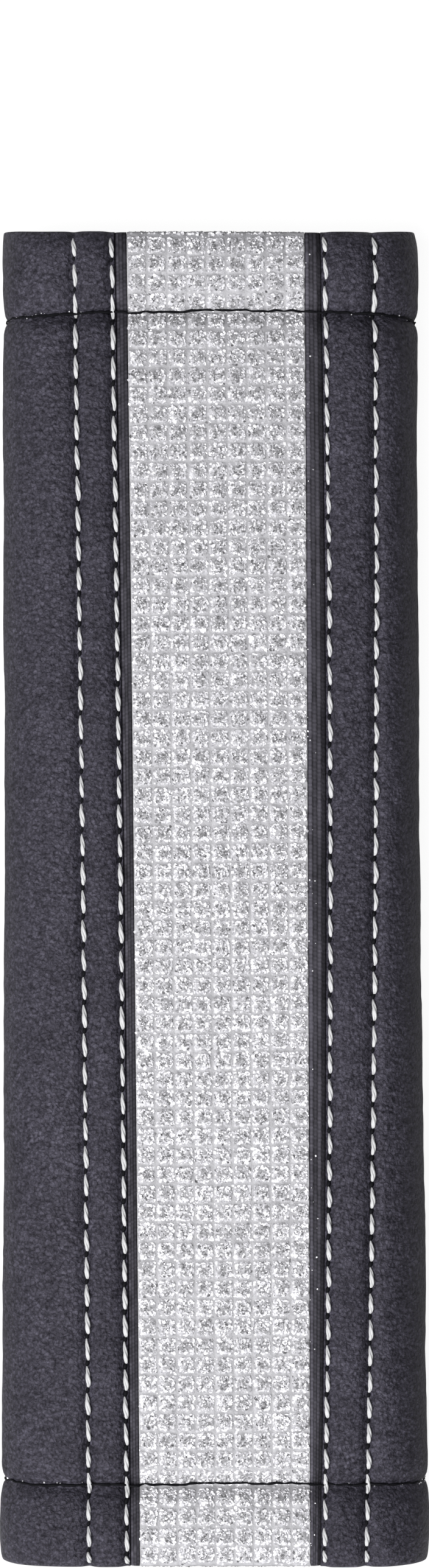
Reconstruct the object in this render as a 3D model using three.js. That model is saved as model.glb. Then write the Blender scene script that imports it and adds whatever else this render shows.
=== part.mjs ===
import * as THREE from "three";

// A seat belt shoulder pad, closed flat round its belt channel and lying on its back.
// Millimetres, +Z up. X runs across the pad, +Y to its top end, and the front faces +Z.
// The origin is under the middle of the pad, on the surface that it lies on.

// Overall size: the height is that of the folds, and the crown is the rise of the front's middle above it
const PAD_LENGTH = 225;
const PAD_HEIGHT = 17.6;
const CROWN = 1;

// Clearances: between layers, and round the fine threads
const CLEAR = 0.3;
const THREAD_CLEAR = 0.2;

// Thickness of each layer
const COVER_THICKNESS = 0.9;
const TAPE_THICKNESS = 0.7;
const STRIP_THICKNESS = 1;
const FOAM_THICKNESS = 4.3;
const LINING_THICKNESS = 0.5;

// Distances from the centre line at the top end, the middle and the bottom end, and the widths beside them
const LEFT = {
  sign: -1,
  reach: { top: 35.9, middle: 35.9, bottom: 36.2 },
  strip: { top: 14.8, middle: 13.5, bottom: 12.5 },
  tapeShow: { top: 2.6, middle: 2.3, bottom: 2.2 },
  ridge: { top: 6.3, middle: 6.3, bottom: 6.4 },
  stitchPitch: { top: 5.2, bottom: 4.5 },
};
const RIGHT = {
  sign: 1,
  reach: { top: 34.6, middle: 35.2, bottom: 36.4 },
  strip: { top: 15.1, middle: 15.7, bottom: 16.1 },
  tapeShow: { top: 3.3, middle: 3.7, bottom: 2.3 },
  ridge: { top: 8.3, middle: 7.4, bottom: 7 },
  stitchPitch: { top: 5, bottom: 4.3 },
};

// White stitching: each stitch swells between two needle holes and lies in a dent of the cover
const STITCH_RADIUS = 0.42;
const NEEDLE_HOLE_RADIUS = 0.14;
const ROW_DENT = 0.8;
const ROW_DENT_REACH = 0.9;
const ROW_DENT_STEPS = [0, 0.6, 1.1];
const ROW_END_INSET = 0.6;
const COVER_EDGE = 0.6;
const TAPE_TUCK = 1.6;

// Cross seams, and the rounding of the two ends
const HEM_LENGTH = 13.5;
const SEAM_DENT = 1.1;
const SEAM_DENT_REACH = 1.6;
const SEAM_DENT_AT_FOLD = 0.35;
const SEAM_THREAD_RADIUS = 0.25;
const END_ROUND_DEPTH = 2;
const END_ROUND_LENGTH = 5;
const END_ROUND_AT_FOLD = { top: 0.15, bottom: 0.6 };

// Glitter strip: cells of the net, and how far the glitter stands up in each
const CELL_PITCH = 3.19;
const CELL_COLUMNS = 9;
const GLITTER_RISE = 0.45;

// Closure on the back: the right flap laps over the left one
const FLAP_OVERLAP = 22;
const FLAP_GAP = 0.8;
const RAMP_RUN = 4;
const CLOSURE_TAPE_WIDTH = 19;
const CLOSURE_TAPE_LENGTH = 190;
const CLOSURE_THREAD_RADIUS = 0.18;
const CLOSURE_THREAD_INSET = 1.5;

const HALF_LENGTH = PAD_LENGTH / 2;
const FOLD_RADIUS = PAD_HEIGHT / 2;
const SEAM_Y = HALF_LENGTH - HEM_LENGTH;

// Where the skins close the foam's ends, and the stations and turns that the shapes are made from
const WRAP_Y = HALF_LENGTH - COVER_THICKNESS;
const WRAP_STEP = 0.1;
const SEAM_STATIONS = [1.15, 0, -1.15, -4];
const END_STATION = 0.7;
const FOLD_STEPS = 6;
const CHANNEL_TURNS = [0, 0.25, 0.5, 0.75, 1].map((share) => share * Math.PI);
const END_SEAM_LAST_TURN = 0.9 * Math.PI;

// Depths of the layers below the outer skin, where nothing presses them in
const FOAM_DEPTH = COVER_THICKNESS + CLEAR;
const FOAM_INNER = FOAM_DEPTH + FOAM_THICKNESS;
const LINING_DEPTH = FOAM_INNER + CLEAR;
const LINING_INNER = LINING_DEPTH + LINING_THICKNESS;
const TAPE_DEPTH = COVER_THICKNESS + CLEAR;
const STRIP_DEPTH = TAPE_DEPTH + TAPE_THICKNESS - STRIP_THICKNESS;
const STRIP_BED = TAPE_THICKNESS + CLEAR;

// Depths in the closure: the outer flap's lining, the two closure tapes and the inner flap
const FLAP_LINING_DEPTH = COVER_THICKNESS + CLEAR;
const FLAP_LINING_INNER = FLAP_LINING_DEPTH + LINING_THICKNESS;
const INNER_FLAP_DEPTH = FOAM_INNER - COVER_THICKNESS;
const CLOSURE_TAPE_THICKNESS = (INNER_FLAP_DEPTH - FLAP_LINING_INNER - 3 * CLEAR) / 2;
const HOOK_DEPTH = FLAP_LINING_INNER + CLEAR;
const LOOP_DEPTH = HOOK_DEPTH + CLOSURE_TAPE_THICKNESS + CLEAR;
const FLAP_EDGE = FLAP_OVERLAP / 2;
const CLOSURE_THREAD_X = CLOSURE_TAPE_WIDTH / 2 - CLOSURE_THREAD_INSET;
const THREAD_GROOVE = 2 * CLOSURE_THREAD_RADIUS + THREAD_CLEAR;
const THREAD_GROOVE_WIDTH = 4 * (CLOSURE_THREAD_RADIUS + THREAD_CLEAR);
const RAMP_TOP = FLAP_EDGE + FLAP_GAP;
const RAMP_FOOT = RAMP_TOP + RAMP_RUN;
const RAMP_SLOPE = INNER_FLAP_DEPTH / RAMP_RUN;
const RAMP_CLEAR = CLEAR * Math.hypot(1, 1 / RAMP_SLOPE);

const MATERIALS = {
  leatherette: new THREE.MeshStandardMaterial({ color: 0x4b4a51, roughness: 0.55 }),
  glitter: new THREE.MeshStandardMaterial({ color: 0xc9c9ce, roughness: 0.4, metalness: 0.3 }),
  wovenTape: new THREE.MeshStandardMaterial({ color: 0x2a2a2e, roughness: 0.8 }),
  foam: new THREE.MeshStandardMaterial({ color: 0x3a3a3c, roughness: 0.95 }),
  lining: new THREE.MeshStandardMaterial({ color: 0x1c1c1f, roughness: 0.9 }),
  closureTape: new THREE.MeshStandardMaterial({ color: 0x19191b, roughness: 0.85 }),
  whiteThread: new THREE.MeshStandardMaterial({ color: 0xe9e9ea, roughness: 0.6 }),
  blackThread: new THREE.MeshStandardMaterial({ color: 0x17171a, roughness: 0.7 }),
};

// A lengthwise line's distance from the centre line, as a smooth curve through its three values.
function along(line, y) {
  const t = y / HALF_LENGTH;
  const lean = (line.top - line.bottom) / 2;
  const bow = (line.top + line.bottom) / 2 - line.middle;
  return line.middle + lean * t + bow * t * t;
}

const innerRow = (side, y) => along(side.strip, y) + along(side.tapeShow, y);
const outerRow = (side, y) => innerRow(side, y) + along(side.ridge, y);
const flatHalf = (side, y) => along(side.reach, y) - FOLD_RADIUS;

// The girth of a point is its distance from the front's centre line, measured round the outer skin.
const foldGirth = (side, y, turn) => flatHalf(side, y) + FOLD_RADIUS * turn;
const backGirth = (side, y, x) => foldGirth(side, y, Math.PI) + flatHalf(side, y) - x;

function frontGirth(side, y, x) {
  const past = (x - flatHalf(side, y)) / FOLD_RADIUS;
  return past <= 0 ? x : foldGirth(side, y, Math.asin(past));
}

const turnAt = (side, y, girth) => (girth - flatHalf(side, y)) / FOLD_RADIUS;

// The point [x, z] of a section at a girth and a depth below the outer skin.
function sectionPoint(side, y, girth, depth) {
  const turn = turnAt(side, y, girth);
  if (turn <= 0) return [side.sign * girth, PAD_HEIGHT - depth];
  if (turn >= Math.PI) return [side.sign * (backGirth(side, y, 0) - girth), depth];
  const radius = FOLD_RADIUS - depth;
  const x = flatHalf(side, y) + radius * Math.sin(turn);
  return [side.sign * x, FOLD_RADIUS + radius * Math.cos(turn)];
}

const bell = (distance, reach) => Math.exp(-((distance / reach) ** 2));

// 1 on the front, falling to 0 from the fold along the back wall to where the flaps start.
function foamFade(side, y, girth) {
  const start = foldGirth(side, y, Math.PI / 2);
  const end = backGirth(side, y, RAMP_FOOT);
  return 1 - THREE.MathUtils.smoothstep(girth, start, end);
}

function crownRise(side, y, girth) {
  const start = innerRow(side, y);
  const share = (girth - start) / (foldGirth(side, y, Math.PI / 2) - start);
  return CROWN * Math.cos((Math.PI / 2) * THREE.MathUtils.clamp(share, 0, 1)) ** 2;
}

function rowDent(side, y, girth) {
  const rows = [innerRow(side, y), frontGirth(side, y, outerRow(side, y))];
  return rows.reduce((sum, row) => sum + ROW_DENT * bell(girth - row, ROW_DENT_REACH), 0);
}

// 1 on the flat front, changing to the share kept at the fold.
function holdTowardsFold(side, y, girth, atFold) {
  const turn = THREE.MathUtils.clamp(turnAt(side, y, girth), 0, Math.PI / 2);
  return 1 - (1 - atFold) * Math.sin(turn) ** 2;
}

function seamDent(side, y, girth) {
  const depth = SEAM_DENT * holdTowardsFold(side, y, girth, SEAM_DENT_AT_FOLD);
  return depth * bell(Math.abs(y) - SEAM_Y, SEAM_DENT_REACH) * foamFade(side, y, girth);
}

function endRound(side, y, girth) {
  const past = Math.abs(y) - (HALF_LENGTH - END_ROUND_LENGTH);
  const share = THREE.MathUtils.clamp(past / END_ROUND_LENGTH, 0, 1);
  const atFold = y > 0 ? END_ROUND_AT_FOLD.top : END_ROUND_AT_FOLD.bottom;
  const depth = END_ROUND_DEPTH * holdTowardsFold(side, y, girth, atFold);
  return depth * (1 - Math.sqrt(1 - share * share)) * foamFade(side, y, girth);
}

// How far the outer skin is pressed in at a girth.
function press(side, y, girth) {
  return (
    rowDent(side, y, girth) +
    seamDent(side, y, girth) +
    endRound(side, y, girth) -
    crownRise(side, y, girth)
  );
}

// A closed solid through like rings of [x, y, z] points, with both ends capped.
function loft(rings) {
  const size = rings[0].length;
  const index = [];
  rings.slice(1).forEach((_, row) => {
    for (let i = 0; i < size; i += 1) {
      const a = row * size + i;
      const b = row * size + ((i + 1) % size);
      index.push(a, b, a + size, b, b + size, a + size);
    }
  });
  const last = (rings.length - 1) * size;
  for (const [a, b, c] of capTriangles(rings[0])) index.push(c, b, a);
  for (const [a, b, c] of capTriangles(rings.at(-1))) index.push(last + a, last + b, last + c);
  return solid(rings.flat(), index);
}

function capTriangles(ring) {
  const outline = ring.map(([x, , z]) => new THREE.Vector2(x, z));
  return THREE.ShapeUtils.triangulateShape(outline, []);
}

function solid(points, index) {
  const geometry = new THREE.BufferGeometry();
  geometry.setAttribute("position", new THREE.Float32BufferAttribute(points.flat(), 3));
  geometry.setIndex(index);
  geometry.computeVertexNormals();
  return geometry;
}

// A ring runs counter-clockwise in X and Z, so that faces point out where the rings follow each other to -Y.
function sectionRing(y, points) {
  const outline = points.map(([x, z]) => new THREE.Vector2(x, z));
  const ordered = THREE.ShapeUtils.isClockWise(outline) ? [...points].reverse() : points;
  return ordered.map(([x, z]) => [x, y, z]);
}

// Y stations, closer where the ends and the cross seams bend the skin. A wrapped layer closes the foam's end.
function stations(endInset, wrapped) {
  const end = HALF_LENGTH - endInset;
  const wrap = wrapped ? [WRAP_Y, WRAP_Y - WRAP_STEP] : [];
  const seam = SEAM_STATIONS.map((share) => SEAM_Y + share * SEAM_DENT_REACH);
  const top = [end, ...wrap, HALF_LENGTH - END_STATION * END_ROUND_LENGTH, ...seam, SEAM_Y / 2];
  return [...top, 0, ...top.map((y) => -y).reverse()];
}

const inWrap = (y) => Math.abs(y) > WRAP_Y - WRAP_STEP / 2;

// Girths that a front layer needs to follow the dent of each stitched row.
const [, DENT_SIDE, DENT_FOOT] = ROW_DENT_STEPS;

function innerRowGirths(side, y) {
  const steps = [-DENT_FOOT, -COVER_EDGE, ...ROW_DENT_STEPS, TAPE_TUCK];
  return steps.map((step) => innerRow(side, y) + step);
}

function outerRowGirths(side, y) {
  const row = frontGirth(side, y, outerRow(side, y));
  return [-DENT_FOOT, -DENT_SIDE, ...ROW_DENT_STEPS].map((step) => row + step);
}

const tapeEdge = (side, y) => innerRow(side, y) + TAPE_TUCK;
const wrapStart = (side, y) => [tapeEdge(side, y) + CLEAR, tapeEdge(side, y) + 2 * CLEAR];

// Girths from the outer row round the fold to the start of the back.
function foldGirths(side, y) {
  const start = outerRowGirths(side, y).at(-1);
  const step = (foldGirth(side, y, Math.PI) - start) / FOLD_STEPS;
  return Array.from({ length: FOLD_STEPS }, (_, i) => start + (i + 1) * step);
}

// The cover's path from its edge on the front to the start of the back.
function coverGirths(side, y) {
  return [
    ...innerRowGirths(side, y).slice(1, -1),
    ...wrapStart(side, y),
    ...outerRowGirths(side, y),
    ...foldGirths(side, y),
  ];
}

function coverInnerDepth(side, y, girth) {
  const wraps = inWrap(y) && girth > wrapStart(side, y)[0] + CLEAR / 2;
  return wraps ? FOAM_INNER : COVER_THICKNESS + press(side, y, girth);
}

const onBack = (side, x, depth) => [side.sign * x, depth];

// The left cover: from its front edge round the fold, up the ramp and over as the inner flap.
function leftCoverRing(y) {
  const girths = coverGirths(LEFT, y);
  const outer = girths.map((g) => sectionPoint(LEFT, y, g, press(LEFT, y, g)));
  const inner = girths.map((g) => sectionPoint(LEFT, y, g, coverInnerDepth(LEFT, y, g)));
  const flapOuter = [
    onBack(LEFT, RAMP_FOOT, 0),
    onBack(LEFT, RAMP_TOP, INNER_FLAP_DEPTH),
    onBack(LEFT, -FLAP_EDGE, INNER_FLAP_DEPTH),
  ];
  const flapInner = [
    onBack(LEFT, RAMP_FOOT, inWrap(y) ? FOAM_INNER : COVER_THICKNESS),
    onBack(LEFT, RAMP_TOP, FOAM_INNER),
    onBack(LEFT, -FLAP_EDGE, FOAM_INNER),
  ];
  return sectionRing(y, [...outer, ...flapOuter, ...flapInner.reverse(), ...inner.reverse()]);
}

// A groove across the flap's skin that a closure thread lies in, as [x, depth] points.
function threadGroove(x) {
  const half = THREAD_GROOVE_WIDTH / 2;
  return [
    [x + half, 0],
    [x, THREAD_GROOVE],
    [x - half, 0],
  ];
}

// The right cover: from its front edge round the fold and straight on as the outer flap.
function rightCoverRing(y) {
  const girths = coverGirths(RIGHT, y);
  const outer = girths.map((g) => sectionPoint(RIGHT, y, g, press(RIGHT, y, g)));
  const inner = girths.map((g) => sectionPoint(RIGHT, y, g, coverInnerDepth(RIGHT, y, g)));
  const grooves = [...threadGroove(CLOSURE_THREAD_X), ...threadGroove(-CLOSURE_THREAD_X)];
  const flapOuter = [[RAMP_FOOT, 0], ...grooves, [-FLAP_EDGE, 0]];
  const foamEnd = RAMP_CLEAR + RAMP_TOP;
  const flapInner = [
    [foamEnd + RAMP_RUN, inWrap(y) ? FOAM_INNER : COVER_THICKNESS],
    [foamEnd, COVER_THICKNESS],
    [-FLAP_EDGE, COVER_THICKNESS],
  ];
  const place = ([x, depth]) => onBack(RIGHT, x, depth);
  return sectionRing(y, [
    ...outer,
    ...flapOuter.map(place),
    ...flapInner.reverse().map(place),
    ...inner.reverse(),
  ]);
}

function leftCoverPanel() {
  return loft(stations(0, true).map(leftCoverRing));
}

function rightCoverPanel() {
  return loft(stations(0, true).map(rightCoverRing));
}

// The woven tape between the glitter strip and a cover, tucked under the cover's edge.
function trimTape(side) {
  const ring = (y) => {
    const girths = [along(side.strip, y) + CLEAR, ...innerRowGirths(side, y)];
    const outer = girths.map((g) => sectionPoint(side, y, g, TAPE_DEPTH + press(side, y, g)));
    const innerDepth = (g) => (inWrap(y) ? FOAM_INNER : TAPE_DEPTH + TAPE_THICKNESS + press(side, y, g));
    const inner = girths.map((g) => sectionPoint(side, y, g, innerDepth(g)));
    return sectionRing(y, [...outer, ...inner.reverse()]);
  };
  return loft(stations(0, true).map(ring));
}

// Points round one fold of the channel at a depth, from its front to its back.
function channelPoints(side, y, depth) {
  return CHANNEL_TURNS.map((turn) => sectionPoint(side, y, foldGirth(side, y, turn), depth));
}

// The foam: one sheet round the channel, lower on the front where the tapes and the strip lie.
function foamRing(y) {
  const bedded = (side, g) => (g < wrapStart(side, y)[0] + CLEAR / 2 ? STRIP_BED : 0);
  const outerPoint = (side) => (g) =>
    sectionPoint(side, y, g, FOAM_DEPTH + bedded(side, g) + press(side, y, g));
  const outer = (side) => [innerRowGirths(side, y)[0], ...coverGirths(side, y)].map(outerPoint(side));
  const inner = (side) => channelPoints(side, y, FOAM_INNER);
  const run = FOAM_THICKNESS / RAMP_SLOPE;
  const leftFoot = RAMP_TOP + RAMP_CLEAR + run;
  const leftEnd = [
    onBack(LEFT, leftFoot, FOAM_DEPTH),
    onBack(LEFT, leftFoot - run, FOAM_INNER),
  ];
  const rightEnd = [
    onBack(RIGHT, RAMP_TOP + RAMP_CLEAR, FOAM_DEPTH),
    onBack(RIGHT, RAMP_TOP + RAMP_CLEAR + run, FOAM_INNER),
  ];
  return sectionRing(y, [
    ...outer(RIGHT),
    ...rightEnd,
    ...inner(RIGHT).reverse(),
    ...inner(LEFT),
    ...leftEnd.reverse(),
    ...outer(LEFT).reverse(),
  ]);
}

function foamCore() {
  return loft(stations(COVER_THICKNESS + CLEAR, false).map(foamRing));
}

// The lining: one cloth from the outer flap up its ramp, round the channel and over the inner flap.
function liningRing(y) {
  const skin = (flapDepth, depth) => [
    onBack(RIGHT, -FLAP_EDGE, flapDepth),
    onBack(RIGHT, RAMP_TOP, flapDepth),
    onBack(RIGHT, RAMP_FOOT, depth),
    ...channelPoints(RIGHT, y, depth).reverse(),
    ...channelPoints(LEFT, y, depth),
    onBack(LEFT, -FLAP_EDGE, depth),
  ];
  const outer = skin(FLAP_LINING_DEPTH, LINING_DEPTH);
  const inner = skin(FLAP_LINING_INNER, LINING_INNER);
  return sectionRing(y, [...outer, ...inner.reverse()]);
}

function innerLining() {
  const end = HALF_LENGTH - CLEAR;
  return loft([end, end / 2, 0, -end / 2, -end].map(liningRing));
}

// Lines of the glitter strip's net from the top end down, with whether a row of cells lies below each.
function netLines() {
  const count = Math.round((2 * SEAM_Y) / CELL_PITCH);
  const pitch = (2 * SEAM_Y) / count;
  const hemLength = WRAP_Y - WRAP_STEP - SEAM_Y;
  const hemCount = Math.round(hemLength / pitch);
  const hem = Array.from({ length: hemCount }, (_, i) => WRAP_Y - WRAP_STEP - (i * hemLength) / hemCount);
  const body = Array.from({ length: count + 1 }, (_, i) => SEAM_Y - i * pitch);
  const top = [HALF_LENGTH, WRAP_Y, ...hem];
  const ys = [...top, ...body, ...top.map((y) => -y).reverse()];
  return ys.map((y, i) => ({ y, cells: i > 1 && i < ys.length - 3 }));
}

const stripX = (y, share) => THREE.MathUtils.lerp(-along(LEFT.strip, y), along(RIGHT.strip, y), share);

function stripPoint(y, share, depth) {
  const x = stripX(y, share);
  const side = x < 0 ? LEFT : RIGHT;
  return [x, y, PAD_HEIGHT - depth - press(side, y, Math.abs(x))];
}

function stripBack(y, share) {
  const [x, , z] = stripPoint(y, share, STRIP_DEPTH + STRIP_THICKNESS);
  return [x, y, inWrap(y) ? PAD_HEIGHT - FOAM_INNER : z];
}

// Triangles of one cell between its corners: a low pyramid of glitter, or flat at the ends of the strip.
function cellFaces(corners, apex) {
  const [a, b, c, d] = corners;
  return apex === null ? [a, b, c, a, c, d] : [a, b, apex, b, c, apex, c, d, apex, d, a, apex];
}

// Triangles of the strip's back and its two edges between two net lines.
function underFaces(near, far) {
  const [nearLeft, nearRight] = near.back;
  const [farLeft, farRight] = far.back;
  const [leftNear, leftFar] = [near.top[0], far.top[0]];
  const [rightNear, rightFar] = [near.top[CELL_COLUMNS], far.top[CELL_COLUMNS]];
  const back = [nearLeft, nearRight, farRight, nearLeft, farRight, farLeft];
  const leftEdge = [leftNear, nearLeft, farLeft, leftNear, farLeft, leftFar];
  const rightEdge = [rightNear, farRight, nearRight, rightNear, rightFar, farRight];
  return [...back, ...leftEdge, ...rightEdge];
}

// A fan that closes one end of the strip.
function endFaces(line, flip) {
  const outline = [...line.top, line.back[1], line.back[0]];
  const hub = outline.at(-1);
  const faces = outline.slice(1, -1).map((point, i) => [hub, outline[i], point]);
  return faces.flatMap((face) => (flip ? face.reverse() : face));
}

// The strip: a net of flat lines with the glitter of each cell as a low pyramid, on a flat back.
function glitterStrip() {
  const points = [];
  const add = (point) => points.push(point) - 1;
  const lines = netLines().map(({ y, cells }) => ({
    y,
    cells,
    top: Array.from({ length: CELL_COLUMNS + 1 }, (_, i) => i / CELL_COLUMNS).map((share) =>
      add(stripPoint(y, share, STRIP_DEPTH)),
    ),
    back: [0, 1].map((share) => add(stripBack(y, share))),
  }));
  const index = [...endFaces(lines[0], false), ...endFaces(lines.at(-1), true)];
  lines.slice(0, -1).forEach((near, r) => {
    const far = lines[r + 1];
    const middle = (near.y + far.y) / 2;
    for (let c = 0; c < CELL_COLUMNS; c += 1) {
      const corners = [near.top[c], far.top[c], far.top[c + 1], near.top[c + 1]];
      const share = (c + 0.5) / CELL_COLUMNS;
      const apex = near.cells ? add(stripPoint(middle, share, STRIP_DEPTH - GLITTER_RISE)) : null;
      index.push(...cellFaces(corners, apex));
    }
    index.push(...underFaces(near, far));
  });
  return solid(points, index);
}

// Shares of a run of stitches at each needle hole and at the middle of each stitch.
const halfStitches = (count) => Array.from({ length: 2 * count + 1 }, (_, i) => i / (2 * count));

// Y of each needle hole of a row and of each stitch's middle, from the top end down.
// Each cross seam has a hole, and between them the pitch shortens evenly from its top value to its bottom one.
function stitchMarks(side) {
  const { top, bottom } = side.stitchPitch;
  const pitch = (top + bottom) / 2;
  const run = (share) => (share * (top - ((top - bottom) * share) / 2)) / pitch;
  const bodyLength = 2 * SEAM_Y;
  const body = halfStitches(Math.round(bodyLength / pitch)).map((share) => SEAM_Y - bodyLength * run(share));
  const hemLength = HEM_LENGTH - ROW_END_INSET;
  const hem = halfStitches(Math.round(hemLength / pitch)).map((share) => SEAM_Y + share * hemLength);
  return [...hem.slice(1).reverse(), ...body, ...hem.slice(1).map((y) => -y)];
}

// A white row: its radius swells in the middle of each stitch and narrows at each needle hole.
function stitchRow(side, rowAt) {
  const ring = (y, i) => {
    const radius = i % 2 ? STITCH_RADIUS : NEEDLE_HOLE_RADIUS;
    const girth = frontGirth(side, y, rowAt(side, y));
    const depth = press(side, y, girth) - CLEAR - STITCH_RADIUS;
    const [x, z] = sectionPoint(side, y, girth, depth);
    return sectionRing(y, [
      [x - radius, z - radius / 2],
      [x + radius, z - radius / 2],
      [x, z + radius],
    ]);
  };
  return loft(stitchMarks(side).map(ring));
}

// The black thread of a cross seam, in its dent from the left fold over the front to the right fold.
function endSeamThread(y) {
  const girths = (side) => [
    along(side.strip, y),
    ...innerRowGirths(side, y),
    ...outerRowGirths(side, y),
    ...foldGirths(side, y).slice(0, -1),
    foldGirth(side, y, END_SEAM_LAST_TURN),
  ];
  const overStrip = (side, g) => (g <= along(side.strip, y) ? STRIP_DEPTH - GLITTER_RISE : 0);
  const depth = (side, g) =>
    press(side, y, g) - rowDent(side, y, g) + overStrip(side, g) - THREAD_CLEAR - SEAM_THREAD_RADIUS;
  const ring = (side) => (g) => {
    const at = (d) => sectionPoint(side, y, g, depth(side, g) + d);
    const [cx, cz] = at(0);
    const [tx, tz] = at(-SEAM_THREAD_RADIUS);
    const [bx, bz] = at(SEAM_THREAD_RADIUS);
    return [
      [tx, y, tz],
      [cx, y - SEAM_THREAD_RADIUS, cz],
      [bx, y, bz],
      [cx, y + SEAM_THREAD_RADIUS, cz],
    ];
  };
  const rings = [...girths(LEFT).reverse().map(ring(LEFT)), ...girths(RIGHT).map(ring(RIGHT))];
  return tube(rings);
}

// A closed solid through like rings of four points, with a square at each end.
function tube(rings) {
  const index = [];
  rings.slice(1).forEach((_, row) => {
    for (let i = 0; i < 4; i += 1) {
      const a = row * 4 + i;
      const b = row * 4 + ((i + 1) % 4);
      index.push(a, b, a + 4, b, b + 4, a + 4);
    }
  });
  const last = (rings.length - 1) * 4;
  index.push(0, 2, 1, 0, 3, 2, last, last + 1, last + 2, last, last + 2, last + 3);
  return solid(rings.flat(), index);
}

// A straight box between two depths of the back wall.
function closureTape(depth) {
  const box = new THREE.BoxGeometry(CLOSURE_TAPE_WIDTH, CLOSURE_TAPE_LENGTH, CLOSURE_TAPE_THICKNESS);
  return box.translate(0, 0, depth + CLOSURE_TAPE_THICKNESS / 2);
}

// A straight thread along a closure tape's edge.
function closureThread(x, z) {
  const radius = CLOSURE_THREAD_RADIUS;
  return new THREE.CylinderGeometry(radius, radius, CLOSURE_TAPE_LENGTH, 6).translate(x, 0, z);
}

const pad = new THREE.Group();

function addMesh(name, geometry, material) {
  const mesh = new THREE.Mesh(geometry, material);
  mesh.name = name;
  pad.add(mesh);
}

addMesh("left_cover_panel", leftCoverPanel(), MATERIALS.leatherette);
addMesh("right_cover_panel", rightCoverPanel(), MATERIALS.leatherette);
addMesh("glitter_strip", glitterStrip(), MATERIALS.glitter);
addMesh("left_trim_tape", trimTape(LEFT), MATERIALS.wovenTape);
addMesh("right_trim_tape", trimTape(RIGHT), MATERIALS.wovenTape);
addMesh("foam_core", foamCore(), MATERIALS.foam);
addMesh("inner_lining", innerLining(), MATERIALS.lining);
addMesh("hook_strip", closureTape(HOOK_DEPTH), MATERIALS.closureTape);
addMesh("loop_strip", closureTape(LOOP_DEPTH), MATERIALS.closureTape);
addMesh("left_outer_stitching", stitchRow(LEFT, outerRow), MATERIALS.whiteThread);
addMesh("left_inner_stitching", stitchRow(LEFT, innerRow), MATERIALS.whiteThread);
addMesh("right_inner_stitching", stitchRow(RIGHT, innerRow), MATERIALS.whiteThread);
addMesh("right_outer_stitching", stitchRow(RIGHT, outerRow), MATERIALS.whiteThread);
addMesh("top_end_stitching", endSeamThread(SEAM_Y), MATERIALS.blackThread);
addMesh("bottom_end_stitching", endSeamThread(-SEAM_Y), MATERIALS.blackThread);

// The hook strip's thread lies in its groove, just clear of the surface that the pad rests on.
const hookThreadZ = CLOSURE_THREAD_RADIUS + THREAD_CLEAR / 4;
const loopThreadZ = LINING_INNER + THREAD_CLEAR + CLOSURE_THREAD_RADIUS;
for (const [name, sign] of [["left", -1], ["right", 1]]) {
  const x = sign * CLOSURE_THREAD_X;
  addMesh(`hook_strip_stitching_${name}`, closureThread(x, hookThreadZ), MATERIALS.blackThread);
  addMesh(`loop_strip_stitching_${name}`, closureThread(x, loopThreadZ), MATERIALS.blackThread);
}

export default pad;
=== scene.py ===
"""A seat belt shoulder pad, lying on its back on a pale floor and seen from straight above."""

import math

import bpy
import numpy as np
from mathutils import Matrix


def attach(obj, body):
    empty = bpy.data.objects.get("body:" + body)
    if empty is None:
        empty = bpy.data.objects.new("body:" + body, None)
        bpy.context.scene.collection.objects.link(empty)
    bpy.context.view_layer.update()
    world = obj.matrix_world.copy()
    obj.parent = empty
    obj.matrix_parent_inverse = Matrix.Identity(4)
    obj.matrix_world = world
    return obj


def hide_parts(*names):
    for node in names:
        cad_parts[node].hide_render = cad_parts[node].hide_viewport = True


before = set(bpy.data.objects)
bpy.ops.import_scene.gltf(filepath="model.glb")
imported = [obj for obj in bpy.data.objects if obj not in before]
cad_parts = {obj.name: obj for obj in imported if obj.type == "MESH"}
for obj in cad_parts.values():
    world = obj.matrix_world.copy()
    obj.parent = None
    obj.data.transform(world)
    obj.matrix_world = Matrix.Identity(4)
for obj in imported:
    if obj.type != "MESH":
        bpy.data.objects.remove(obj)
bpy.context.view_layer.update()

# Lengths here are millimetres, as in the CAD, until a mesh is made
MM = 0.001

# The photo's view: straight down, with the plane whose scale is known
VIEW_PLANE = 16.0
VIEW_DISTANCE = 700.0
VIEW_HEIGHT = 264.67
VIEW_CENTRE_Y = 19.4
SENSOR_WIDTH = 36
FURTHEST_SEEN_METRES = 50

camera = bpy.data.objects.new("camera", bpy.data.cameras.new("camera"))
camera.data.sensor_width = SENSOR_WIDTH
camera.data.lens = SENSOR_WIDTH * VIEW_DISTANCE / VIEW_HEIGHT
camera.data.clip_end = FURTHEST_SEEN_METRES
camera.location = (0, VIEW_CENTRE_Y * MM, (VIEW_PLANE + VIEW_DISTANCE) * MM)
bpy.context.collection.objects.link(camera)
bpy.context.scene.camera = camera

# Sizes shared with the CAD
HALF_LENGTH = 112.5
PAD_HEIGHT = 17.6
FOLD_RADIUS = PAD_HEIGHT / 2
CROWN = 1.0
CLEAR = 0.3
COVER = 0.9
TAPE = 0.7
STRIP = 1.0
FOAM = 4.3
LINING = 0.5
FOAM_INNER = COVER + CLEAR + FOAM
TAPE_DEPTH = COVER + CLEAR
STRIP_DEPTH = TAPE_DEPTH + TAPE - STRIP
COVER_EDGE = 0.6
TAPE_TUCK = 1.6
ROW_DENT = 0.8
ROW_DENT_REACH = 0.9
ROW_END = 0.6
SEAM_Y = 99.0
SEAM_DENT = 1.1
SEAM_DENT_REACH = 1.6
SEAM_DENT_AT_FOLD = 0.35
END_ROUND_DEPTH = 2.0
END_ROUND_LENGTH = 5.0
FLAP_EDGE = 11.0
RAMP_TOP = 11.8
RAMP_FOOT = 15.8
INNER_FLAP_DEPTH = FOAM_INNER - COVER
FLAP_LINING_DEPTH = COVER + CLEAR
CLOSURE_LENGTH = 190.0
CLOSURE_THREAD_X = 8.0
CLOSURE_THREAD_RADIUS = 0.18

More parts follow.
